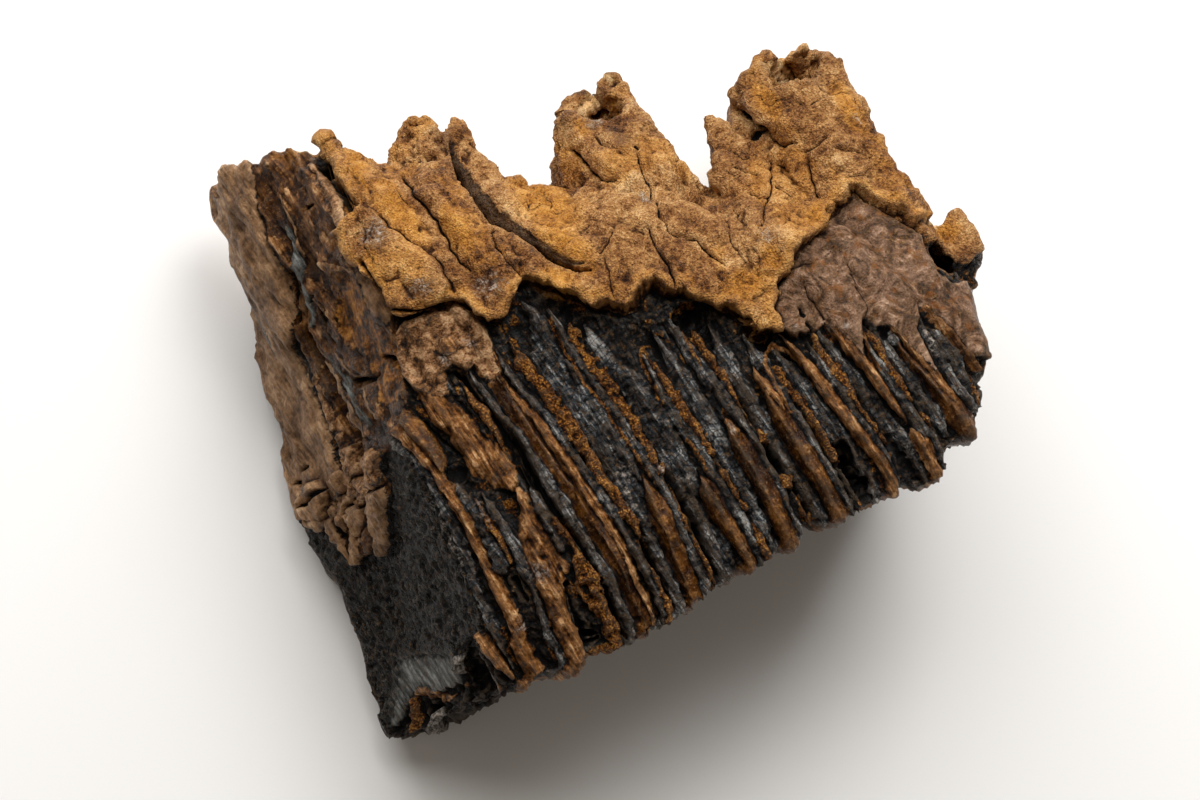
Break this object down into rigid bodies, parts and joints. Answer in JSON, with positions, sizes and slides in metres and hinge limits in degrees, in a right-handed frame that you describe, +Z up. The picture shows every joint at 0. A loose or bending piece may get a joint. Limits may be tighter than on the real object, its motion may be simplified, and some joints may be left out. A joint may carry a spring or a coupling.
{
  "type": "fossil mammoth molar",
  "caption": "Loose fossil cheek tooth lying on its side: a block of enamel plates worn flat at the chewing face, with a cap of tapering roots behind",
  "frame": {"origin": "on the surface that the tooth lies on, under the middle of its bounding box", "axes": "+X along the tooth row, +Y from the chewing face to the roots, +Z up through the tooth's width, from the tongue side to the cheek side"},
  "size_m": [0.1669, 0.1392, 0.079],
  "materials": {
    "fossil_tooth": "rough"
  },
  "bodies": {
    "root": {"molar": "fossil_tooth"}
  },
  "joints": []
}
